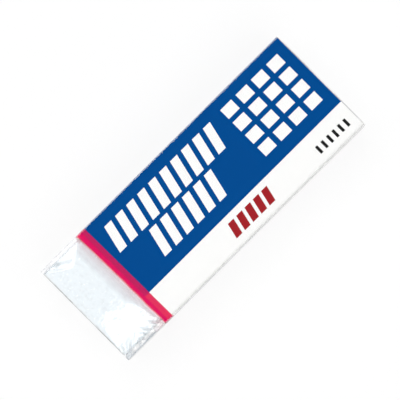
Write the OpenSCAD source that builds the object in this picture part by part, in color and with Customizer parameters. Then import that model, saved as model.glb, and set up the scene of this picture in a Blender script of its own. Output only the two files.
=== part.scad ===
// Small block eraser in a printed card sleeve, overwrapped in clear film with a tear strip.
// Millimetres. X runs along the eraser, from its bare end (-X) to its sleeved end (+X).
// Z is up, and the origin is the centre of the pack's underside.

/* [Eraser block] */
// Length of the block
block_l = 43.9; // [36:0.1:70]
// Width of the block
block_w = 15.4; // [12:0.1:26]
// Height of the block
block_h = 10.8; // [9:0.1:16]
// Radius of the four long edges
block_edge_r = 0.4; // [0.1:0.05:1]
// Length of block that stands out of the sleeve
exposed_l = 7.4; // [4:0.1:16]
// How far the other end of the block sits inside the sleeve
block_setback = 0.3; // [0.1:0.1:2]

/* [Card sleeve] */
// Thickness of the card
card_t = 0.3; // [0.2:0.05:0.5]
// Clearance between the block and the card, on each side
sleeve_fit = 0.05; // [0.02:0.01:0.3]
// Inside radius of the sleeve's creases
crease_r = 0.1; // [0.05:0.05:0.3]
// Height of the flap that is glued behind the near side panel
glue_flap_h = 8; // [3:0.5:8.5]
// How far the glued panel's free edge stops above the sleeve's underside
panel_edge_gap = 0.2; // [0.05:0.05:0.3]

/* [Tear strip] */
// Width of the tear strip
tape_w = 1.4; // [1:0.1:3]
// Thickness of the tear strip
tape_t = 0.04; // [0.02:0.01:0.1]
// How far the tear strip lies over the card, from the sleeve's mouth
tape_on_card = 0.75; // [0.2:0.05:1]
// Length of the tongue that is pulled to open the pack
pull_tab_l = 2; // [1:0.1:2.5]

/* [Film wrapper] */
// Thickness of the film
film_t = 0.03; // [0.02:0.005:0.06]
// Height of the film's outer free edge above the underside, on the near side
film_edge_z = 4; // [3.5:0.1:5]
// How far the film's two free edges overlap
film_lap = 3; // [1.5:0.1:4]
// How far the upper fold lies over the lower one, at each end
fold_overlap = 2.8; // [1:0.1:4]
// Gap between the film and what it is folded over, at each end
end_gap = 0.06; // [0.02:0.01:0.3]

/* [Hidden] */
$fn = 48;

// Gap left between bonded layers, so that none of them overlaps another
bond_gap = 0.005;
// Film layers at each end: the side tucks, then the lower fold, then the upper fold
end_layers = 3;

// Sleeve: its near side, towards -Y, is two cards thick
sleeve_l = block_l - exposed_l + block_setback;
sleeve_w = block_w + 2 * sleeve_fit + 3 * card_t;
sleeve_h = block_h + 2 * sleeve_fit + 2 * card_t;
sleeve_r = crease_r + card_t;

// Room between sleeve and film: one tear strip above and below, and the whole lap at the sides
flat_gap = tape_t + 2 * bond_gap;
side_gap = film_t + 2 * tape_t + 4 * bond_gap;

// Whole pack
pack_l = block_l + block_setback + 2 * (end_gap + end_layers * film_t);
pack_w = sleeve_w + 2 * (side_gap + film_t);
pack_h = sleeve_h + 2 * (flat_gap + film_t);
pack_r = sleeve_r + flat_gap + film_t;

// Length of film that is folded over each end
end_fold_l = (pack_h + fold_overlap) / 2;

// Places along X
block_x = -pack_l / 2 + end_layers * film_t + end_gap;
sleeve_x = block_x + exposed_l;
tape_x = sleeve_x + tape_on_card - tape_w;

// Places along Y, on the near side, from the outside in. "Stepped" is where the film's inner
// layer passes behind the tear strip.
near_y = -pack_w / 2;
outer_tape_y = near_y + film_t + bond_gap;
stepped_film_y = outer_tape_y + tape_t + bond_gap;
inner_tape_y = stepped_film_y + film_t + bond_gap;
sleeve_y = -sleeve_w / 2;
block_y = sleeve_y + 2 * card_t + sleeve_fit;

// Places along Z
sleeve_z = film_t + flat_gap;
block_z = sleeve_z + card_t + sleeve_fit;
film_inner_edge_z = film_edge_z + film_lap;
tab_z = film_edge_z - pull_tab_l;

// ---- Section shapes, drawn with Y to the right and Z up ----

// A rectangle with round corners, between two opposite corners
module round_rect(low, high, r) {
    size = high - low;
    translate(low) {
        translate([r, 0]) square([size[0] - 2 * r, size[1]]);
        translate([0, r]) square([size[0], size[1] - 2 * r]);
        for (y = [r, size[0] - r], z = [r, size[1] - r]) translate([y, z]) circle(r);
    }
}

// A tube's section, whose near wall can be thicker than the others
module tube(low, high, r, wall, near_wall) {
    difference() {
        round_rect(low, high, r);
        round_rect(low + [near_wall, wall], high - [wall, wall], r - wall);
    }
}

// A sheet wound once round the pack, with its ends lapped on the near side: the outer end comes
// down to outer_edge, and the inner end comes up to inner_edge behind it
module wound_sheet(outer_y, inner_y, far_y, z, r, wall, inner_wall, outer_edge, inner_edge) {
    difference() {
        tube([outer_y, z], [far_y, pack_h - z], r, wall, wall);
        translate([2 * near_y, -pack_h]) square([-2 * near_y, pack_h + outer_edge]);
    }
    difference() {
        tube([inner_y, z], [far_y, pack_h - z], r, wall, inner_wall);
        translate([2 * near_y, inner_edge]) square([-2 * near_y, pack_h]);
    }
}

// Draws a section from x on, for a length l
module along_x(x, l) {
    translate([x, 0, 0]) rotate([90, 0, 90]) linear_extrude(l) children();
}

// ---- Eraser block ----

module eraser_block() {
    color("white")
    along_x(block_x, block_l)
    round_rect([block_y, block_z], [block_y + block_w, block_z + block_h], block_edge_r);
}

// ---- Card sleeve ----

// Four creased panels, with a flap that rises behind the near side panel and is glued to it
module sleeve_section() {
    low = [sleeve_y, sleeve_z];
    high = [sleeve_y + sleeve_w, sleeve_z + sleeve_h];
    difference() {
        tube(low, high, sleeve_r, card_t, card_t);
        translate(low - [card_t, card_t])
            square([card_t + sleeve_w / 2, card_t + panel_edge_gap]);
    }
    difference() {
        tube(low + [card_t, 0], high, sleeve_r, card_t, card_t);
        translate(low + [0, glue_flap_h]) square([sleeve_w / 2, sleeve_h]);
    }
}

module card_sleeve() {
    color([0, 0.3, 0.57]) along_x(sleeve_x, sleeve_l) sleeve_section();
}

// ---- Tear strip ----

// Bonded inside the film all the way round, so its two ends are lapped as the film's are
module tear_strip() {
    inset = film_t + bond_gap;
    color([0.91, 0.1, 0.39])
    along_x(tape_x, tape_w)
    wound_sheet(outer_tape_y, inner_tape_y, -near_y - inset, inset, pack_r - inset,
                tape_t, tape_t, tab_z, film_inner_edge_z);
}

// ---- Film wrapper ----

// One stretch of the wound film, with its inner layer's near wall between two depths
module film_tube(x, l, inner_from, inner_to) {
    along_x(x, l)
    wound_sheet(near_y, inner_from, -near_y, 0, pack_r,
                film_t, inner_to - inner_from, film_edge_z, film_inner_edge_z);
}

// The wound film, whose inner layer steps in behind the tear strip
module film_body() {
    start = -pack_l / 2 + (end_layers - 1) * film_t;
    step_x = tape_x - bond_gap;
    step_l = tape_w + 2 * bond_gap;
    sealed_y = near_y + film_t;
    stepped_to = stepped_film_y + film_t;
    film_tube(start, step_x - film_t - start, sealed_y, sealed_y + film_t);
    film_tube(step_x - film_t, film_t, sealed_y, stepped_to);
    film_tube(step_x, step_l, stepped_film_y, stepped_to);
    film_tube(step_x + step_l, film_t, sealed_y, stepped_to);
    film_tube(step_x + step_l + film_t, -start - step_x - step_l - film_t,
              sealed_y, sealed_y + film_t);
}

// The tongue of film that carries the tear strip's outer end
module pull_tab() {
    translate([tape_x, near_y, tab_z]) cube([tape_w, film_t, pull_tab_l]);
}

// One film layer of an end, counted from the outside, and kept within the pack's outline
module end_layer(number) {
    along_x(pack_l / 2 - (number + 1) * film_t, film_t)
    intersection() {
        round_rect([near_y, 0], [-near_y, pack_h], pack_r);
        children();
    }
}

// A fold with mitred sides, as wide as the pack at its root, which lies at the underside
module mitred_fold() {
    intersection() {
        polygon([[near_y, 0], [-near_y, 0], [0, -near_y]]);
        translate([near_y, 0]) square([pack_w, end_fold_l]);
    }
}

// The envelope fold of an end: two side tucks, the lower fold over them, and the upper one last
module end_folds() {
    end_layer(2)
        for (y = [near_y, -near_y - end_fold_l]) translate([y, 0]) square([end_fold_l, pack_h]);
    end_layer(1) {
        mitred_fold();
        translate([near_y, pack_h - film_t]) square([pack_w, film_t]);
    }
    end_layer(0) translate([0, pack_h]) mirror([0, 1]) mitred_fold();
}

module film_wrapper() {
    color([0.93, 0.96, 0.98, 0.3]) {
        film_body();
        pull_tab();
        end_folds();
        mirror([1, 0, 0]) end_folds();
    }
}

eraser_block();
card_sleeve();
tear_strip();
film_wrapper();
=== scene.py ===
# %% [markdown]
# # A block eraser in a card sleeve and clear film
# The real thing is a white vinyl block in a printed card sleeve. A machine wraps the two in clear
# film, with a red tear strip bonded inside the film to open it by, and folds the film's ends like
# an envelope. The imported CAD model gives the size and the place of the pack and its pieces, in
# metres. The block and the sleeve keep their CAD meshes and get a finish. The film and the tear
# strip are modelled anew here, since their slack and their creases are what the eye sees of them.

import math

import bmesh
import bpy
from mathutils import Matrix, Vector, noise


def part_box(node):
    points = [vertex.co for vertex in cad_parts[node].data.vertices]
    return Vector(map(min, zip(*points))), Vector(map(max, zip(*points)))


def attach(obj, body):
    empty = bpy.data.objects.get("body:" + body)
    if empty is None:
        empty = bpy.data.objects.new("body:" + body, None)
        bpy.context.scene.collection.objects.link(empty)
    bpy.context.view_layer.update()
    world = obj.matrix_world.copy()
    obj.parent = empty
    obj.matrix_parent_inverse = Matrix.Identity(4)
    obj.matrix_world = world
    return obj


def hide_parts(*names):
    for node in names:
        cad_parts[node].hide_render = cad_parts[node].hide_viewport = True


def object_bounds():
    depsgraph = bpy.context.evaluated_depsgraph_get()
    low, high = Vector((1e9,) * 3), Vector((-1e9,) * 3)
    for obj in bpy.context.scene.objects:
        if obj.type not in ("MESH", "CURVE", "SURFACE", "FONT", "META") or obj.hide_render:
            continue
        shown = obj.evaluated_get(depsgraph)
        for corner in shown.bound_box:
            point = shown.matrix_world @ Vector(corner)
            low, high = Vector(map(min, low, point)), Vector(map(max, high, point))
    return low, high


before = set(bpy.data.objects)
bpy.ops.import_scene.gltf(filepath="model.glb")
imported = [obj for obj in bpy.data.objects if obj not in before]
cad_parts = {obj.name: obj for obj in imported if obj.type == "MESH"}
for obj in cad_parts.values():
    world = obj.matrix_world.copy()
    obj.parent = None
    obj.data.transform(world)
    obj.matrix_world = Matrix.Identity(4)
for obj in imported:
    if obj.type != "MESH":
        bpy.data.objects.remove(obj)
cad_low, cad_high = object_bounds()

MM = 0.001
sleeve_low, sleeve_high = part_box("card_sleeve")
strip_low, strip_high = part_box("tear_strip")
pack_size = cad_high - cad_low
print("pack, mm:", [round(side / MM, 2) for side in pack_size])

# %% [markdown]
# ## Colours and nodes
# Print colours are named as sRGB hex values, as a printer or a web page gives them, but Blender's
# shaders work in linear light, so one function converts them. Another adds a node, sets it and
# links it in one call, which keeps each material short enough to read. Patterns are drawn at their
# real size, so a third gives each material the point on the object in millimetres.

# %% Helpers for materials
def linear(hex_colour):
    """An sRGB colour such as "#808080" as linear red, green and blue, with an alpha of 1."""
    levels = [int(hex_colour[i:i + 2], 16) / 255 for i in (1, 3, 5)]
    return (*[s / 12.92 if s <= 0.04045 else ((s + 0.055) / 1.055) ** 2.4 for s in levels], 1.0)


def add(tree, kind, settings):
    """Adds a node. A key is an attribute of the node, or the name or number of an input; an input
    takes a value, or an output socket to link."""
    node = tree.nodes.new("ShaderNode" + kind)
    for key, value in settings.items():
        if isinstance(value, bpy.types.NodeSocket):
            tree.links.new(value, node.inputs[key])
        elif isinstance(key, str) and hasattr(node, key):
            setattr(node, key, value)
        else:
            node.inputs[key].default_value = value
    return node


def new_material(name):
    """An empty material and its node tree."""
    material = bpy.data.materials.new(name)
    material.use_nodes = True
    material.node_tree.nodes.clear()
    return material, material.node_tree


def place_in_mm(tree):
    """The point on the object, in millimetres."""
    coordinates = add(tree, "TexCoord", {})
    return add(tree, "VectorMath", {"operation": "SCALE", 0: coordinates.outputs["Object"],
                                    "Scale": 1 / MM})


print("middle grey in linear light:", round(linear("#808080")[0], 3))

# %% [markdown]
# ## The camera
# A long lens far above the pack keeps its edges parallel. The pack lies at 45 degrees across the
# picture, and the camera leans a little towards the pack's white side, so that a thin line of it
# shows.

# %% Camera
SENSOR_MM = 36
FRAME_WIDTH = 53.22 * MM
DISTANCE = 500 * MM
LEAN = math.radians(1.75)
ROLL = math.radians(-44.87)
OFF_CENTRE = Vector((-0.35, -0.30, 0)) * MM

camera = bpy.data.objects.new("camera", bpy.data.cameras.new("camera"))
camera.data.sensor_width = SENSOR_MM
camera.data.lens = SENSOR_MM * DISTANCE / FRAME_WIDTH
camera.data.clip_start = 10 * MM
camera.data.clip_end = 10 * DISTANCE
aim = Vector((0, 0, cad_high.z))
camera.matrix_world = (Matrix.Translation(aim) @ Matrix.Rotation(LEAN, 4, "X")
                       @ Matrix.Rotation(ROLL, 4, "Z")
                       @ Matrix.Translation(OFF_CENTRE + Vector((0, 0, DISTANCE))))
bpy.context.scene.collection.objects.link(camera)
bpy.context.scene.camera = camera
bpy.context.scene.view_settings.view_transform = "Standard"
print("lens, mm:", round(camera.data.lens))

# %% [markdown]
# ## The studio floor
# The floor is white board that curves up into a low wall. A plane would end at the horizon in the
# side views, so its profile is spun once round instead: a floor, a cove and a wall in one sheet.

# %% Floor
FLOOR_Z = -0.02 * MM
FLOOR_R = 1.0
COVE_R = 0.2
WALL_H = 0.35

profile = bmesh.new()
start = profile.verts.new((0, 0, FLOOR_Z))
corner = profile.verts.new((FLOOR_R, 0, FLOOR_Z))
top = profile.verts.new((FLOOR_R, 0, WALL_H))
profile.edges.new((start, corner))
profile.edges.new((corner, top))
bmesh.ops.bevel(profile, geom=[corner], offset=COVE_R, segments=8, profile=0.5,
                affect="VERTICES", material=-1)
bmesh.ops.spin(profile, geom=profile.verts[:] + profile.edges[:], cent=(0, 0, 0),
               axis=(0, 0, 1), angle=math.tau, steps=64, use_merge=True)
bmesh.ops.remove_doubles(profile, verts=profile.verts[:], dist=1e-6)
bmesh.ops.recalc_face_normals(profile, faces=profile.faces[:])
if sum(face.normal.z for face in profile.faces) < 0:
    bmesh.ops.reverse_faces(profile, faces=profile.faces[:])

floor_mesh = bpy.data.meshes.new("floor")
profile.to_mesh(floor_mesh)
profile.free()
for polygon in floor_mesh.polygons:
    polygon.use_smooth = True
floor = bpy.data.objects.new("floor", floor_mesh)
bpy.context.scene.collection.objects.link(floor)
print("floor faces:", len(floor_mesh.polygons))

# %% [markdown]
# ## The floor's white
# Board lit softly enough for the pack's own colours would come out grey. So whoever looks at it, the
# camera, a gloss or a clear film, gets mostly plain white, with about an eighth of the board's real
# shading, which keeps the soft shadow under the pack. Light that the board throws back on the pack
# is the real board's.

# %% White board
REAL_SHARE = 0.12

board, tree = new_material("white_board")
diffuse = add(tree, "BsdfDiffuse", {"Color": linear("#F7F7F7")})
plain = add(tree, "Emission", {"Color": (1, 1, 1, 1), "Strength": 1.0})
ray = add(tree, "LightPath", {})
seen = add(tree, "Math", {"operation": "MAXIMUM", 0: ray.outputs["Is Camera Ray"],
                          1: ray.outputs["Is Glossy Ray"]})
seen = add(tree, "Math", {"operation": "MAXIMUM", 0: seen.outputs[0],
                          1: ray.outputs["Is Transmission Ray"]})
share = add(tree, "Math", {"operation": "MULTIPLY", 0: seen.outputs[0], 1: 1 - REAL_SHARE})
shader = add(tree, "MixShader", {0: share.outputs[0], 1: diffuse.outputs[0], 2: plain.outputs[0]})
add(tree, "OutputMaterial", {"Surface": shader.outputs[0]})
floor_mesh.materials.append(board)
print("board's real shading that shows:", REAL_SHARE)

# %% [markdown]
# ## The light
# Two long softboxes hang either side of the camera. The gap between them is dark, and that is what
# flat film mirrors to the camera, so the print stays saturated. Film that is tilted a few degrees
# mirrors a softbox instead and flashes white. The room is light grey near the horizon, which fills
# the pack's sides, and fades to black overhead, so that it doesn't veil the film.

# %% Softboxes and room
SOFTBOXES = {
    # name: (degrees from straight up towards +Y, distance, length and width in metres, watts)
    "softbox_far": (20.5, 0.7, 0.6, 0.37, 3.2),
    "softbox_near": (-24, 0.7, 0.6, 0.39, 2.6),
}
for name, (tilt, distance, length, width, power) in SOFTBOXES.items():
    light = bpy.data.lights.new(name, "AREA")
    light.shape = "RECTANGLE"
    light.size = length
    light.size_y = width
    light.energy = power
    lamp = bpy.data.objects.new(name, light)
    lamp.matrix_world = (Matrix.Rotation(math.radians(-tilt), 4, "X")
                         @ Matrix.Translation((0, 0, distance)))
    bpy.context.scene.collection.objects.link(lamp)

ROOM_GLOW = 0.42
GLOW_FADES = (0.3, 0.85)  # from and to this height, where straight up is 1

world = bpy.data.worlds.new("studio")
world.use_nodes = True
tree = world.node_tree
direction = add(tree, "TexCoord", {})
height = add(tree, "SeparateXYZ", {0: direction.outputs["Generated"]})
room = add(tree, "MapRange", {"Value": height.outputs["Z"], "From Min": GLOW_FADES[0],
                              "From Max": GLOW_FADES[1], "To Min": ROOM_GLOW, "To Max": 0.0,
                              "interpolation_type": "SMOOTHSTEP"})
tree.links.new(room.outputs[0], tree.nodes["Background"].inputs["Strength"])
tree.nodes["Background"].inputs["Color"].default_value = (1, 1, 1, 1)
bpy.context.scene.world = world
print("softboxes:", ", ".join(SOFTBOXES))

# %% [markdown]
# ## The eraser block
# Plasticised vinyl is moulded and cut. To the eye it is a soft, faintly cool white with no sharp
# highlight: light goes a third of a millimetre into it, and its skin has a slight orange peel. The
# block keeps its CAD mesh, so all of that comes from the material.

# %% Vinyl
PEEL_MM = 0.4
PEEL_DEPTH = 0.02 * MM
LIGHT_DEPTH = 0.3 * MM

vinyl, tree = new_material("moulded_white_vinyl")
place = place_in_mm(tree)
grain = add(tree, "TexNoise", {"Vector": place.outputs[0], "Scale": 1 / PEEL_MM, "Detail": 3.0})
peel = add(tree, "Bump", {"Height": grain.outputs["Fac"], "Distance": PEEL_DEPTH, "Strength": 0.6})
shade = add(tree, "Mix", {"data_type": "RGBA", 0: grain.outputs["Fac"],
                          6: linear("#EAF3FA"), 7: linear("#F4F9FD")})
shader = add(tree, "BsdfPrincipled", {
    "Base Color": shade.outputs[2], "Roughness": 0.5, "IOR": 1.53,
    "Subsurface Weight": 0.3, "Subsurface Radius": (1, 1, 1), "Subsurface Scale": LIGHT_DEPTH,
    "Normal": peel.outputs[0]})
add(tree, "OutputMaterial", {"Surface": shader.outputs[0]})
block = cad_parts["eraser_block"]
block.data.materials.clear()
block.data.materials.append(vinyl)
print("vinyl on", block.name)

# %% [markdown]
# ## The sleeve's print
# The sleeve is printed flat, before it is cut and creased. An image of the print would blur when
# seen close, so the ink is worked out from the point on the card, and its edges stay crisp at any
# size. One function draws a block of equal cells, and a slant turns upright cells into leaning ones.
# The words of the real print are left off, and rows of plain slanted bars hold their places.

# %% Rows of printed cells
def printed_cells(tree, point, low, cell, pitch, counts, slant=0.0):
    """A mask that is 1 on rows of equal cells whose first corner is at low, in mm. counts cells
    lie along x and along y, a pitch apart, and slant moves a point's x for each mm of y."""
    mask = None
    lean = add(tree, "Math", {"operation": "MULTIPLY", 0: point.outputs["Y"], 1: slant})
    upright = add(tree, "Math", {"operation": "SUBTRACT", 0: point.outputs["X"], 1: lean.outputs[0]})
    starts = (low[0] - slant * low[1], low[1])
    for along, start, size, step, count in zip((upright.outputs[0], point.outputs["Y"]), starts,
                                               cell, pitch, counts):
        run = add(tree, "Math", {"operation": "SUBTRACT", 0: along, 1: start})
        inside = add(tree, "Math", {"operation": "COMPARE", 0: run.outputs[0],
                                    1: step * count / 2, 2: step * count / 2})
        phase = add(tree, "Math", {"operation": "FLOORED_MODULO", 0: run.outputs[0], 1: step})
        on = add(tree, "Math", {"operation": "LESS_THAN", 0: phase.outputs[0], 1: size})
        for part in (inside, on):
            mask = part if mask is None else add(
                tree, "Math", {"operation": "MULTIPLY", 0: mask.outputs[0], 1: part.outputs[0]})
    return mask


BAR = 1.3
BAR_PITCH = 2.06
SLANT = 0.23
WHITE_PRINT = [
    # low corner, cell and pitch in mm, counts, slant
    ((9.86, -2.05), (2.055, 1.65), (2.875, 2.337), (4, 4), 0.0),
    ((-12.95, 2.55), (BAR, 3.95), (BAR_PITCH, 3.95), (10, 1), SLANT),
    ((-9.05, -2.02), (BAR, 4.0), (BAR_PITCH, 4.0), (6, 1), SLANT),
]
RED_PRINT = [((-0.6, -7.05), (1.05, 2.2), (1.55, 2.2), (5, 1), SLANT)]
BLACK_PRINT = [((15.3, -7.0), (0.42, 1.2), (1.02, 1.2), (6, 1), 0.0)]
print("printed cells:", sum(row[3][0] * row[3][1] for row in WHITE_PRINT + RED_PRINT + BLACK_PRINT))

# %% [markdown]
# ## Ink on the card
# Blue covers the far side and most of the top and of the underside, and the rest stays white. The
# rows of cells are printed on the top only. Each colour is mixed over the last, as one ink is laid
# over another.

# %% Inks
EDGE_OF_BLUE = -3.90
WHITE_CARD = linear("#FBFBFA")

card, tree = new_material("offset_printed_coated_card")
place = place_in_mm(tree)
point = add(tree, "SeparateXYZ", {0: place.outputs[0]})
is_top = add(tree, "Math", {"operation": "GREATER_THAN", 0: point.outputs["Z"],
                            1: (sleeve_high.z + sleeve_low.z) / 2 / MM})
blue = add(tree, "Math", {"operation": "GREATER_THAN", 0: point.outputs["Y"], 1: EDGE_OF_BLUE})
ink = add(tree, "Mix", {"data_type": "RGBA", 0: blue.outputs[0], 6: WHITE_CARD,
                        7: linear("#004C92")})
for colour, rows in ((WHITE_CARD, WHITE_PRINT), (linear("#A4252B"), RED_PRINT),
                     (linear("#232323"), BLACK_PRINT)):
    for row in rows:
        mask = printed_cells(tree, point, *row)
        mask = add(tree, "Math", {"operation": "MULTIPLY", 0: mask.outputs[0],
                                  1: is_top.outputs[0]})
        ink = add(tree, "Mix", {"data_type": "RGBA", 0: mask.outputs[0], 6: ink.outputs[2],
                                7: colour})
print("nodes for the ink:", len(tree.nodes))

# %% [markdown]
# ## Bare card
# Only the sleeve's outer faces are printed. Its cut ends and its inside show the bare board, which
# is warmer and greyer. A point is on an outer face when it lies within half the card's thickness of
# the sleeve's box, and on a cut when it lies at either end of the box.

# %% Which faces are printed
CUT_EDGE = 0.01
SKIN = 0.15

middle = (sleeve_low + sleeve_high) / 2 / MM
reach = (sleeve_high - sleeve_low) / 2 / MM - Vector((CUT_EDGE, SKIN, SKIN))
offset = add(tree, "VectorMath", {"operation": "SUBTRACT", 0: place.outputs[0], 1: middle})
away = add(tree, "VectorMath", {"operation": "ABSOLUTE", 0: offset.outputs[0]})
past = add(tree, "VectorMath", {"operation": "SUBTRACT", 0: away.outputs[0], 1: reach})
past = add(tree, "SeparateXYZ", {0: past.outputs[0]})
not_cut = add(tree, "Math", {"operation": "LESS_THAN", 0: past.outputs["X"], 1: 0.0})
skin = add(tree, "Math", {"operation": "MAXIMUM", 0: past.outputs["Y"], 1: past.outputs["Z"]})
skin = add(tree, "Math", {"operation": "GREATER_THAN", 0: skin.outputs[0], 1: 0.0})
printed = add(tree, "Math", {"operation": "MULTIPLY", 0: not_cut.outputs[0], 1: skin.outputs[0]})
ink = add(tree, "Mix", {"data_type": "RGBA", 0: printed.outputs[0], 6: linear("#E9E6DF"),
                        7: ink.outputs[2]})
print("printed skin, mm:", SKIN)

# %% [markdown]
# ## The card's finish
# Coated card is calendered smooth. To the eye it is matt under the film, whose gloss lies over it,
# with a trace of the board's fibres. The fibres are a tenth of a millimetre wide.

# %% Card
FIBRE_MM = 0.111
FIBRE_DEPTH = 0.0006 * MM

fibres = add(tree, "TexNoise", {"Vector": place.outputs[0], "Scale": 1 / FIBRE_MM, "Detail": 4.0})
tooth = add(tree, "Bump", {"Height": fibres.outputs["Fac"], "Distance": FIBRE_DEPTH,
                           "Strength": 0.5})
shader = add(tree, "BsdfPrincipled", {
    "Base Color": ink.outputs[2], "Roughness": 0.55, "IOR": 1.5, "Specular IOR Level": 0.02,
    "Normal": tooth.outputs[0]})
add(tree, "OutputMaterial", {"Surface": shader.outputs[0]})
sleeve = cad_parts["card_sleeve"]
sleeve.data.materials.clear()
sleeve.data.materials.append(card)
print("card nodes:", len(tree.nodes))

# %% [markdown]
# ## Sheets wound round the pack
# The film and the tear strip are both wound round the girth, and their two ends lap on the near
# side. A box with thickness couldn't lap, so one function draws that path as a chain of edges, with
# its corners bevelled round and its long edges cut short enough to bend.

# %% The path once round
EDGE_R = 0.1 * MM
TOUCH = 0.001 * MM  # points closer than this count as in the same place


def wound_path(bm, x, inset, inner_end, outer_end, behind, spacings):
    """A path once round the pack at x, inset from its outside. It starts at the inner end, which
    lies behind the outer one, runs under the pack and over it, and comes down to the outer end.
    spacings are the lengths of its edges, elsewhere and on the top."""
    ys = (cad_low.y + inset, cad_high.y - inset)
    zs = (cad_low.z + inset, cad_high.z - inset)
    points = [(ys[0] + behind, inner_end), (ys[0], zs[0]), (ys[1], zs[0]), (ys[1], zs[1]),
              (ys[0], zs[1]), (ys[0], outer_end)]
    verts = [bm.verts.new((x, y, z)) for y, z in points]
    for pair in zip(verts, verts[1:]):
        bm.edges.new(pair)
    bmesh.ops.bevel(bm, geom=verts[1:5], offset=EDGE_R - inset, segments=4, profile=0.5,
                    affect="VERTICES", material=-1)
    for edge in bm.edges[:]:
        on_top = min(vert.co.z for vert in edge.verts) > zs[1] - TOUCH
        cuts = round(edge.calc_length() / spacings[on_top]) - 1
        if cuts > 0:
            bmesh.ops.subdivide_edges(bm, edges=[edge], cuts=cuts)
    return bm.edges[:]


print("once round, mm:", round(2 * (pack_size.y + pack_size.z) / MM, 1))

# %% [markdown]
# ## From a path to a sheet
# A real sheet is fed off a roll and cut. Here the path is extruded from station to station along
# the pack, which leaves a sheet with no thickness that is easy to crease. Each fold and each crease
# is made on that sheet.

# %% Sheets
def extrude(bm, edges, move):
    """Extrudes edges, moves each new point by the function move, and returns the new edges."""
    grown = bmesh.ops.extrude_edge_only(bm, edges=edges)["geom"]
    fresh = {part for part in grown if isinstance(part, bmesh.types.BMVert)}
    for vert in fresh:
        vert.co = move(vert.co)
    return [part for part in grown if isinstance(part, bmesh.types.BMEdge)
            and set(part.verts) <= fresh]


def draw_out(bm, path, stations):
    """Extrudes a path to each station along x in turn, and returns the last edges."""
    for x in stations:
        path = extrude(bm, path, lambda co: Vector((x, co.y, co.z)))
    return path


print("length to draw out, mm:", round(pack_size.x / MM, 1))

# %% [markdown]
# ## From a sheet to a piece
# The machine draws the film tight. On the far side there is no lap to make room for, so the sheet
# is drawn in a little there. Its thickness could be modelled as a second skin, but a Solidify
# modifier gives it last, inwards from the outer face, so that the creases need to be made only
# once and the pack doesn't grow.

# %% Pieces with a thickness
FAR_SIDE_SCALE = 0.9895


def tighten(bm):
    """Draws a sheet in towards the sleeve's far side."""
    for vert in bm.verts:
        if vert.co.y > 0:
            vert.co.y *= FAR_SIDE_SCALE


def face_outwards(bm):
    """Turns a wound sheet's faces so that their normals point away from the pack's middle."""
    bmesh.ops.recalc_face_normals(bm, faces=bm.faces[:])
    middle = (cad_low + cad_high) / 2
    if sum(face.normal.dot(face.calc_center_median() - middle) for face in bm.faces) < 0:
        bmesh.ops.reverse_faces(bm, faces=bm.faces[:])


def make_piece(name, bm, material, thickness):
    """Turns a sheet into a smooth piece with a real thickness, which rides with the pack."""
    tighten(bm)
    face_outwards(bm)
    mesh = bpy.data.meshes.new(name)
    bm.to_mesh(mesh)
    bm.free()
    mesh.materials.append(material)
    for polygon in mesh.polygons:
        polygon.use_smooth = True
    piece = bpy.data.objects.new(name, mesh)
    bpy.context.scene.collection.objects.link(piece)
    wall = piece.modifiers.new("wall", "SOLIDIFY")
    wall.thickness = thickness
    wall.offset = -1
    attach(piece, "root")
    print(name, "faces:", len(mesh.polygons))
    return piece


print("far side drawn in, mm:", round(cad_high.y / MM * (1 - FAR_SIDE_SCALE), 3))

# %% [markdown]
# ## The tear strip
# The strip is a thin red film tape that the machine bonds inside the film before it is wound. So it
# is drawn out along the same path as the film, a little further in. Its outer end is the tab that
# is pulled, and it comes further down than the film does.

# %% Tear strip
STRIP_INSET = 0.05 * MM
STRIP_BEHIND = 0.09 * MM  # how far its inner end lies behind its outer one
STRIP_SPACING = 0.3 * MM
STRIP_STEPS = 14
TAB_END = 2 * MM
LAP_INNER_END = 7 * MM

strip_bm = bmesh.new()
width = strip_high.x - strip_low.x
path = wound_path(strip_bm, strip_low.x, STRIP_INSET, LAP_INNER_END, TAB_END, STRIP_BEHIND,
                  (STRIP_SPACING, STRIP_SPACING))
draw_out(strip_bm, path,
         [strip_low.x + width * i / STRIP_STEPS for i in range(1, STRIP_STEPS + 1)])
print("tear strip, mm wide:", round(width / MM, 2))

# %% [markdown]
# ## The strip's two edges
# A strip is never wound quite square, and its edge over the bare end is free to wander. Turning the
# whole strip would part its two ends, so both edges are moved point by point instead, and what lies
# between follows. How far a point lies from the bare edge is kept as an attribute, for the dye to
# thin out by. That soft edge is painted: it widens the pink fringe of the strip's own tinted shadow
# on the vinyl.

# %% Edges of the strip, in mm
# the fringe is painted: it widens the tinted shadow that the strip casts on the vinyl
PAINTED_FRINGE = 0.3  # the width over which the dye thins out
ASKEW = 0.10
BOW = 0.16  # how much further the bare edge lies out towards the top's far edge
WANDER = 0.06
WANDER_LENGTH = 2
BARE_TRIM = 0.05
CARD_TRIM = 0.02


def clamp(value):
    """A value held between 0 and 1."""
    return min(1.0, max(0.0, value))


across_mm = strip_bm.verts.layers.float.new("across_mm")
for vert in strip_bm.verts:
    from_bare = (vert.co.x - strip_low.x) / width
    # from -1 at the top's near edge to 1 at its far edge, back down the far side, and so on round
    turn = vert.co.y / cad_high.y * (2 * vert.co.z / cad_high.z - 1)
    bare_edge = strip_low.x / MM + BARE_TRIM - ASKEW * turn - BOW * clamp(turn) ** 2 - PAINTED_FRINGE / 2
    bare_edge += WANDER * noise.noise(Vector((vert.co.y, vert.co.z, 0)) / MM / WANDER_LENGTH)
    card_edge = strip_high.x / MM - CARD_TRIM - ASKEW * turn
    place_x = bare_edge + (card_edge - bare_edge) * from_bare
    vert.co.x = place_x * MM
    vert[across_mm] = place_x - bare_edge
print("widest point of the strip, mm:", round(max(vert[across_mm] for vert in strip_bm.verts), 2))

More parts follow.
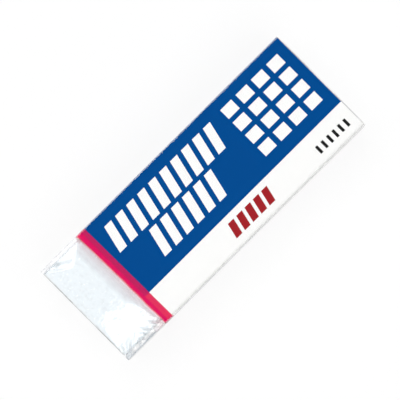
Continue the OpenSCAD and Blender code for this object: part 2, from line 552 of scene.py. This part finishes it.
# %% [markdown]
# ## The strip's finish
# Dyed polypropylene tape lets some light through. To the eye it is a strong pink red that darkens
# over blue ink and warms over white card. Its bare edge is soft, which paints a wider pink fringe
# beside the strip's own tinted shadow on the vinyl. A glass shader would bend what lies under it,
# which thin film doesn't, so the dye is a diffuse share and the rest is a tinted transparent one.

# %% Red tape
STRIP_T = 0.02 * MM
DYE_SHARE = 0.37

tape, tree = new_material("red_tear_tape")
place = place_in_mm(tree)
point = add(tree, "SeparateXYZ", {0: place.outputs[0]})
over_card = add(tree, "Math", {"operation": "GREATER_THAN", 0: point.outputs["X"],
                               1: sleeve_low.x / MM})
# where the strip leaves the card and lies over the vinyl, its dye and its tint are set deeper
body = add(tree, "Mix", {"data_type": "RGBA", 0: over_card.outputs[0],
                         6: linear("#FE129B"), 7: linear("#FE3C9B")})
stain = add(tree, "Mix", {"data_type": "RGBA", 0: over_card.outputs[0],
                          6: linear("#FEAD61"), 7: linear("#FECE61")})
across = add(tree, "Attribute", {"attribute_name": "across_mm"})
# the dye share and the tint fade out over the fringe: a painted soft edge that widens the strip's
# tinted shadow
body_share = add(tree, "MapRange", {"Value": across.outputs["Fac"], "From Max": PAINTED_FRINGE,
                                    "To Max": DYE_SHARE, "interpolation_type": "SMOOTHSTEP"})
painted_fringe_tint = add(tree, "MapRange", {"Value": across.outputs["Fac"], "From Min": PAINTED_FRINGE * 0.35,
                                 "From Max": PAINTED_FRINGE * 1.2})
tint = add(tree, "Mix", {"data_type": "RGBA", 0: painted_fringe_tint.outputs[0], 6: linear("#FFF3F3"),
                         7: stain.outputs[2]})
dye = add(tree, "BsdfDiffuse", {"Color": body.outputs[2]})
clear = add(tree, "BsdfTransparent", {"Color": tint.outputs[2]})
shader = add(tree, "MixShader", {0: body_share.outputs[0], 1: clear.outputs[0], 2: dye.outputs[0]})
add(tree, "OutputMaterial", {"Surface": shader.outputs[0]})
strip = make_piece("tear_tape", strip_bm, tape, STRIP_T)
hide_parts("tear_strip")

# %% [markdown]
# ## Creases
# Film doesn't dent smoothly: it breaks into flat facets that meet in sharp creases. One function
# gives such a surface, and another lets its creases fan out of the bare end's two near corners,
# where the film is gathered.

# %% Creased film
CREASES_PER_MM = 2.4
BENDS_PER_MM = 0.6


def creased(u, v):
    """Flat triangular facets that meet in sharp creases, from -1 to 1: random heights at the points
    of a grid, joined by straight lines."""
    i, j = math.floor(u), math.floor(v)
    fu, fv = u - i, v - j
    near = [noise.cell(Vector((i + a, j + b, 7))) for a, b in ((0, 0), (1, 0), (0, 1), (1, 1))]
    if fu + fv < 1:
        return near[0] + (near[1] - near[0]) * fu + (near[2] - near[0]) * fv
    return near[3] + (near[2] - near[3]) * (1 - fu) + (near[1] - near[3]) * (1 - fv)


def crumple(along, across):
    """The creases that fan out of the two near corners, from -1 to 1."""
    left = creased((along - across) * CREASES_PER_MM, (along + across) * BENDS_PER_MM)
    right = creased((along + across) * CREASES_PER_MM, (along - across) * BENDS_PER_MM)
    return left + (right - left) * clamp((along - 2.6) / 1.4)


print("a crease every", round(1 / CREASES_PER_MM, 2), "mm")

# %% [markdown]
# ## Slack film over the bare end
# The film is tight over the sleeve and slack over the bare end. There it drops from the sleeve's
# mouth on to the vinyl, and rises again towards the near edge. Simulated cloth would settle in
# another way each time a size changed, so small rules give how deep the film lies instead. They
# work in millimetres: along runs from the bare end, and across runs from the near edge.

# %% Drop and rise
CONTACT = 0.385  # the depth at which the film touches the vinyl
WIDE = pack_size.y / MM
HIGH = pack_size.z / MM
DROP = (strip_low.x - cad_low.x) / MM - 0.2  # where the film starts to drop from the sleeve
MOUTH_SLOPE = 0.9  # how far the slopes up to the sleeve's mouth, the bare end and the far edge reach
END_SLOPE = 0.7
FAR_SLOPE = 0.35
ROUND_RISE_FROM = 7.6  # the rise to the near edge starts here, and is even from the next place on
EVEN_RISE_FROM = 4.6
ROUND_RISE = 0.0116  # for the distance squared
EVEN_RISE = 0.07  # for each millimetre
WAVE = 0.5  # how far the place where the rise starts sways


def near_rise(across):
    """How far the film rises from the vinyl towards the near edge: round at first, then even."""
    even = EVEN_RISE * max(0.0, EVEN_RISE_FROM - across)
    return even + ROUND_RISE * max(0.0, ROUND_RISE_FROM - max(across, EVEN_RISE_FROM)) ** 2


def drawn_down(along, across):
    """How deep the film lies where nothing lifts it: on the vinyl, apart from slopes up to the
    sleeve's mouth, the bare end, the far edge and the near edge."""
    # past the gathered near part, the slope down from the mouth is twice as long
    mouth_slope = MOUTH_SLOPE * (1 + clamp((across - 4.0) / 2.0))
    wavy = across + WAVE * noise.noise(Vector((along * 0.8, across * 0.8, 5.0)))
    return min(CONTACT - near_rise(wavy),
               CONTACT * (DROP - along) / mouth_slope,
               CONTACT * along / END_SLOPE,
               CONTACT * (WIDE - across) / FAR_SLOPE)


print("depth at the middle of the bare end, mm:", round(drawn_down(3.0, WIDE / 2), 3))

# %% [markdown]
# ## The facet and the crumpled edge
# At the far edge the film stands off in one triangular facet, which is pinched by one small fold.
# Along the near edge it is crumpled. Both only change the depth within their own outlines, so they
# are laid over the rule above.

# %% Depth of the film's top
FACET = ((-0.3, 16.6), (3.45, 14.0), (6.9, 16.5))  # its left corner, apex and right corner
PINCH = 0.2
PINCH_START = (1.4, 16.3)  # a point on the small fold, and how steeply the fold runs from it
PINCH_SLOPE = 0.58
PINCH_SPAN = (1.2, 4.0)
CRUMPLE_WIDTH = 2.2
CRUMPLE_DEPTH = 0.2
SIDE_DEPTH = 0.15


def facet_share(along, across):
    """1 within the facet, and 0 outside it, with a soft edge."""
    inside = []
    for (ax, ay), (bx, by) in zip(FACET, FACET[1:]):
        inside.append(((bx - ax) * (across - ay) - (by - ay) * (along - ax))
                      / math.hypot(bx - ax, by - ay))
    return clamp(min(inside) / 0.15)


def facet_depth(along, across):
    """How deep the facet lies: it slopes from the far rim to its apex, on both sides of the fold."""
    past_fold = across - (PINCH_START[1] - PINCH_SLOPE * (along - PINCH_START[0]))
    if PINCH_SPAN[0] < along < PINCH_SPAN[1]:
        level = across - min(PINCH, max(-PINCH, past_fold))
    else:
        level = across - (PINCH if past_fold > 0 else -PINCH)
    rim = WIDE - 0.1
    return CONTACT * (rim - level) / (rim - FACET[1][1])


def top_depth(along, across):
    """How deep the film's top lies over the bare end."""
    depth = drawn_down(along, across)
    depth += (min(depth, facet_depth(along, across)) - depth) * facet_share(along, across)
    window = clamp(CRUMPLE_WIDTH - across) * clamp(across / 0.2)
    window *= clamp(along / 0.35) * clamp((DROP + 0.3 - along) / 0.4)
    depth += CRUMPLE_DEPTH * window * crumple(along, across)
    return min(CONTACT, max(0.0, depth))


def side_depth(along, up, seed):
    """How far a side of the film is drawn in over the bare end."""
    pull = min(1.0, along / 1.2, (DROP + 0.5 - along) / 2.0, up / 2.5, (HIGH - up) / 2.5)
    creases = creased(along * 0.45 + seed, up * 0.3 + along * 0.2)
    return SIDE_DEPTH * max(0.0, pull) * (1 + creases)


print("depth within the facet, mm:", round(top_depth(3.4, 15.5), 3))

# %% [markdown]
# ## Painted shade, haze and a painted rim highlight
# Shade is painted into the film as a grey, milky share: in bands before the sleeve's mouth, in the
# creases of the crumpled edge, along the near rim, on the near side and along the bare end's rim.
# Faint random specks of haze and a few grey spots go with it. The far rim is painted white, a painted
# highlight over the gap between the block and the film. A pattern in the material couldn't follow
# the creases, so how much of each the film gets is worked out beside its shape and stored on its
# points.

# %% Painted shade and haze on the film
# grey spots: in the facet, at the far edge beside the strip, and at the bare end's far corner
SPOTS = (
    # strength, centre, half size
    (0.45, (2.1, 15.72), (0.75, 0.3)),
    (0.5, (6.5, 16.05), (0.4, 0.5)),
    (0.4, (0.0, 16.7), (0.4, 0.2)),
)


def spot(along, across, centre, size):
    """A soft spot, from 1 at its centre to 0 at its edge."""
    return clamp(1.5 - 1.5 * math.hypot((along - centre[0]) / size[0], (across - centre[1]) / size[1]))


def painted_shade_and_haze_at(along, across):
    """How much shade is painted into the film's top over the bare end, with faint haze, from 0 to 0.5.
    """
    speck = noise.noise(Vector((along, across, 2.0)) * 1.7)
    # painted shade: a broad grey band before the sleeve's mouth, and a second one close to it
    band = 5.0 + 0.03 * (15.2 - across) + 0.85 * clamp((6.0 - across) / 1.6)
    painted_shade_and_haze = 0.18 * clamp((along - band + 0.2) / 0.6) * clamp((15.9 - across) / 1.0)
    painted_shade_and_haze += 0.2 * clamp((along - DROP + 0.9) / 0.9) * clamp((16.3 - across) / 0.8)
    # faint random specks of haze all over, and painted shade in stronger specks on the end's rim
    painted_shade_and_haze += 0.05 * clamp(2 * noise.noise(Vector((along, across, 9.0)) * 2.6))
    painted_shade_and_haze += clamp(0.35 - along) / 0.35 * 0.5 * speck
    # painted shade in the creases of the crumpled edge, most of all in its corners
    corners = clamp(abs(along - 3.4) / 2.5 - 0.2)
    painted_shade_and_haze += clamp((2.4 - across) / 1.2) * (0.25 + 0.45 * corners) * clamp(
        2.4 * crumple(along, across) - 0.6 + 0.5 * speck)
    # painted shade along the near rim, in specks, and strongest at its very edge
    painted_shade_and_haze += (0.45 + 0.5 * speck) * clamp((0.8 + speck - across) / 0.4)
    painted_shade_and_haze += 0.5 * clamp((0.2 - across) / 0.1)
    # the grey spots
    for strength, centre, size in SPOTS:
        painted_shade_and_haze += strength * spot(along, across, centre, size)
    return 0.5 * clamp(painted_shade_and_haze) * clamp((DROP + 0.15 - along) / 0.15)


def painted_side_shade_at(along, up):
    """How much shade is painted into the near side's film over the bare end: most of all close under
    the top.
    """
    return 0.7 * clamp((up - HIGH + 1.2) / 1.0) * clamp((DROP - along) / 0.5)


def white_at(along, across):
    """How much of the painted highlight the film's far rim gets, from 0 to 1."""
    return clamp((across - WIDE + 0.65) / 0.15) * clamp((DROP - 0.1 - along) / 0.3)


print("haze in the near corner:", round(painted_shade_and_haze_at(0.5, 0.5), 2))

# %% [markdown]
# ## Winding the film
# The path is drawn out along the pack with short steps over the bare end, where the creases are,
# and long ones over the sleeve. The last step is short again, which keeps the sleeved end's edge
# crisp. The edges of both ends are kept, because the folds grow out of them.

# %% Wound film
LAP_OUTER_END = 4 * MM
FILM_BEHIND = 0.06 * MM  # how far the lap's inner layer lies behind the outer one
FILM_START = cad_low.x + 0.01 * MM
SHORT_STEP = 0.12 * MM
LONG_STEP = 0.9 * MM
LAST_STEP = 0.05 * MM

film_bm = bmesh.new()
painted_shade_and_haze_layer = film_bm.verts.layers.float.new("painted_shade_and_haze")
white_layer = film_bm.verts.layers.float.new("white")
sealed_layer = film_bm.verts.layers.float.new("sealed")
path = wound_path(film_bm, FILM_START, 0.0, LAP_INNER_END, LAP_OUTER_END, FILM_BEHIND,
                  (0.4 * MM, 0.15 * MM))
stations = []
x = FILM_START
while x < cad_high.x - TOUCH:
    x += SHORT_STEP if x < strip_low.x else LONG_STEP
    stations.append(min(x, cad_high.x))
stations[-1:] = [cad_high.x - LAST_STEP, cad_high.x]
ends = {-1: path, 1: draw_out(film_bm, path, stations)}
print("stations:", len(stations))

# %% [markdown]
# ## Shaping the film
# Each point over the bare end is moved as the rules say, and keeps its painted shade and haze and its
# painted rim highlight. The lap's inner layer steps in behind the tear strip. It is heat-sealed to the
# outer layer above the outer one's edge, with no air between them, so it is marked there, for the
# finish to leave its gloss off.

# %% Slack, painted shade and lap
STEP_BEHIND_STRIP = 0.05 * MM
STEP_REACH = 0.8 * MM
BOTH_LAYERS = 0.1  # both layers of the lap lie this close to the near side, in mm
strip_middle = (strip_low.x + strip_high.x) / 2
touch = TOUCH / MM

for vert in film_bm.verts:
    co = vert.co
    along, across, up = (co.x - FILM_START) / MM, (co.y - cad_low.y) / MM, co.z / MM
    if along < DROP + 0.7:
        if up > HIGH - touch:
            # painted shade with haze, and the painted rim highlight, on the film's top
            vert[painted_shade_and_haze_layer] = painted_shade_and_haze_at(along, across)
            vert[white_layer] = white_at(along, across)
            co.z -= top_depth(along, across) * MM
        elif across > WIDE - touch:
            co.y -= side_depth(along, up, 3.0) * MM
        elif across < BOTH_LAYERS and up > 0.3:
            co.y += side_depth(along, up, 8.0) * MM
        if across < 0.25 and up < HIGH - touch:
            # painted shade on the near side, under the top
            vert[painted_shade_and_haze_layer] = painted_side_shade_at(along, up)
    if touch < across < BOTH_LAYERS and up < LAP_INNER_END / MM + touch:
        behind_strip = clamp(1.5 - abs(co.x - strip_middle) / STEP_REACH)
        co.y += STEP_BEHIND_STRIP * behind_strip * clamp(up / 2)
        vert[sealed_layer] = clamp((up - LAP_OUTER_END / MM + 0.2) / 0.2)
print("sealed points:", sum(vert[sealed_layer] > 0.5 for vert in film_bm.verts))

# %% [markdown]
# ## Folding the ends
# Each end is folded as an envelope is: two side tucks lie innermost, the lower flap lies over them,
# and the upper flap lies outermost. Extruding the end's own edges keeps the fold one sheet with the
# film. The upper and lower flaps grow narrower as they are drawn out, which mitres their sides.

# %% Folds
LAYER = 0.035 * MM
FOLD_OVERLAP = 2.8 * MM
FOLD = (pack_size.z + FOLD_OVERLAP) / 2
TUCK = pack_size.z / 2
FOLD_STEP = 0.45 * MM
FLAPS = (
    # which points are its root, its length, its layer from the outside, its direction, mitred or not
    (lambda co: co.z > cad_high.z - TOUCH, FOLD, 0, Vector((0, 0, -1)), True),
    (lambda co: co.z < TOUCH, FOLD, 1, Vector((0, 0, 1)), True),
    (lambda co: co.y > cad_high.y - TOUCH, TUCK, 2, Vector((0, -1, 0)), False),
    (lambda co: co.y < cad_low.y + TOUCH and co.z > LAP_OUTER_END - TOUCH, TUCK, 2,
     Vector((0, 1, 0)), False),
)


def fold_end(side, edges, distance, layer, inwards, mitred):
    """Folds one flap over an end, and returns its points. inwards points across the end, away from
    the flap's root."""
    flap_verts = []
    done = 0.0
    x = side * (cad_high.x - layer * LAYER)
    count = math.ceil(distance / FOLD_STEP)
    for target in [LAYER] + [distance * i / count for i in range(1, count + 1)]:
        step = inwards * (target - done)
        narrow = (cad_high.y - target) / (cad_high.y - done) if mitred else 1.0
        edges = extrude(film_bm, edges,
                        lambda co: Vector((x, (co.y + step.y) * narrow, co.z + step.z)))
        flap_verts.extend(vert for edge in edges for vert in edge.verts)
        done = target
    return flap_verts


flap_verts = set()
for side, edges in ends.items():
    for is_root, *fold in FLAPS:
        root = [edge for edge in edges if all(is_root(vert.co) for vert in edge.verts)]
        flap_verts.update(fold_end(side, root, *fold))
print("points on the folds:", len(flap_verts))

# %% [markdown]
# ## Ripples in the folds
# Folded film never lies quite flat, so the flaps are rippled inwards with the same creases. The
# ripples die away towards the outline, because the folds are tight there. They are shallow at the
# bare end, where the block stands close behind, and deeper at the sleeve's open mouth.

# %% Ripples
BARE_RIPPLE = 0.035 * MM
SLEEVED_RIPPLE = 0.2 * MM


def ripple(y, z):
    """How far a folded end is rippled, from -1 to 1."""
    rim = min(cad_high.y - abs(y), z, cad_high.z - z) / MM
    return clamp(rim / 1.5) * creased(y / MM * 0.5 + 0.3 * z / MM, z / MM * 0.35)


for vert in flap_verts:
    for layer in (painted_shade_and_haze_layer, white_layer, sealed_layer):
        vert[layer] = 0.0
    depth = SLEEVED_RIPPLE if vert.co.x > 0 else BARE_RIPPLE
    vert.co.x -= math.copysign(depth * ripple(vert.co.y, vert.co.z), vert.co.x)
print("deepest ripple, mm:", SLEEVED_RIPPLE / MM)

# %% [markdown]
# ## The film's gloss
# Oriented polypropylene film is drawn thin and clear. To the eye it is all gloss: it mirrors about
# a fourteenth of the light that meets it square on, counting both of its faces, and more at a
# glancing angle. Facing raised to the fifth power gives that rise on both sides of a face, where a
# Fresnel node would be wrong on the inner one. Over the bare end it has crinkles half a millimetre
# wide, which are too fine for the mesh. Sealed layers share their faces, so the inner one loses
# most of its gloss.

# %% Gloss of clear film
CRINKLE_MM = 0.526
CRINKLE_DEPTH = 0.023 * MM
GLOSS_SQUARE_ON = 0.036
GLOSS_GLANCING = 0.45
SEALED_GLOSS = 0.15

film, tree = new_material("clear_polypropylene_film")
place = place_in_mm(tree)
point = add(tree, "SeparateXYZ", {0: place.outputs[0]})
slack = add(tree, "MapRange", {"Value": point.outputs["X"], "From Min": strip_low.x / MM - 0.5,
                               "From Max": strip_low.x / MM, "To Min": 1.0, "To Max": 0.02})
crinkle = add(tree, "TexNoise", {"Vector": place.outputs[0], "Scale": 1 / CRINKLE_MM, "Detail": 2.5,
                                 "Roughness": 0.5})
bump = add(tree, "Bump", {"Height": crinkle.outputs["Fac"], "Distance": CRINKLE_DEPTH,
                          "Strength": slack.outputs[0]})
facing = add(tree, "LayerWeight", {"Blend": 0.5, "Normal": bump.outputs[0]})
edge_on = add(tree, "Math", {"operation": "POWER", 0: facing.outputs["Facing"], 1: 5.0})
gloss_share = add(tree, "Math", {"operation": "MULTIPLY_ADD", 0: edge_on.outputs[0],
                                 1: GLOSS_GLANCING, 2: GLOSS_SQUARE_ON})
sealed = add(tree, "Attribute", {"attribute_name": "sealed"})
faces_in_air = add(tree, "MapRange", {"Value": sealed.outputs["Fac"], "To Min": 1.0,
                                      "To Max": SEALED_GLOSS})
gloss_share = add(tree, "Math", {"operation": "MULTIPLY", 0: gloss_share.outputs[0],
                                 1: faces_in_air.outputs[0]})
gloss = add(tree, "BsdfGlossy", {"Roughness": 0.05, "Normal": bump.outputs[0]})
print("mirrored square on, both faces:", 2 * GLOSS_SQUARE_ON)

# %% [markdown]
# ## The film's painted shade and milk
# A share of the film is diffuse, and it carries the shade and the highlight painted on the film's
# points: cool grey for the painted shade and the faint haze, faintly pink for the painted shade
# beside the tear strip, and white for the painted highlight on the far rim. The rest is plainly
# transparent, since a film this thin bends nothing.

# %% Painted shade in the film
FILM_T = 0.03 * MM
# the share of the film that the painted highlight on the far rim covers
PAINTED_RIM_LIGHT_SHARE = 0.5

# the painted shade with haze, and the painted rim highlight, as stored on the film's points
painted_shade_and_haze_amount = add(tree, "Attribute", {"attribute_name": "painted_shade_and_haze"})
white = add(tree, "Attribute", {"attribute_name": "white"})
# painted pink shade beside the tear strip
painted_pink_shade = add(tree, "MapRange", {"Value": point.outputs["X"], "From Min": strip_low.x / MM - 2.0,
                                "From Max": strip_low.x / MM - 0.5})
tint = add(tree, "Mix", {"data_type": "RGBA", 0: painted_pink_shade.outputs[0], 6: linear("#C6CDD3"),
                         7: linear("#DFC9CD")})
# painted highlight: the far rim turns white
tint = add(tree, "Mix", {"data_type": "RGBA", 0: white.outputs["Fac"], 6: tint.outputs[2],
                         7: linear("#FBFCFE")})
painted_shade_and_light = add(tree, "BsdfDiffuse", {"Color": tint.outputs[2]})
clear = add(tree, "BsdfTransparent", {"Color": (1, 1, 1, 1)})
# how much of the film is painted shade, haze and painted rim highlight
cover = add(tree, "Math", {"operation": "MULTIPLY_ADD", 0: white.outputs["Fac"], 1: PAINTED_RIM_LIGHT_SHARE,
                           2: painted_shade_and_haze_amount.outputs["Fac"]})
sheet = add(tree, "MixShader", {0: cover.outputs[0], 1: clear.outputs[0], 2: painted_shade_and_light.outputs[0]})
shader = add(tree, "MixShader", {0: gloss_share.outputs[0], 1: sheet.outputs[0],
                                 2: gloss.outputs[0]})
add(tree, "OutputMaterial", {"Surface": shader.outputs[0]})
wrapper = make_piece("film_overwrap", film_bm, film, FILM_T)
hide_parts("film_wrapper")
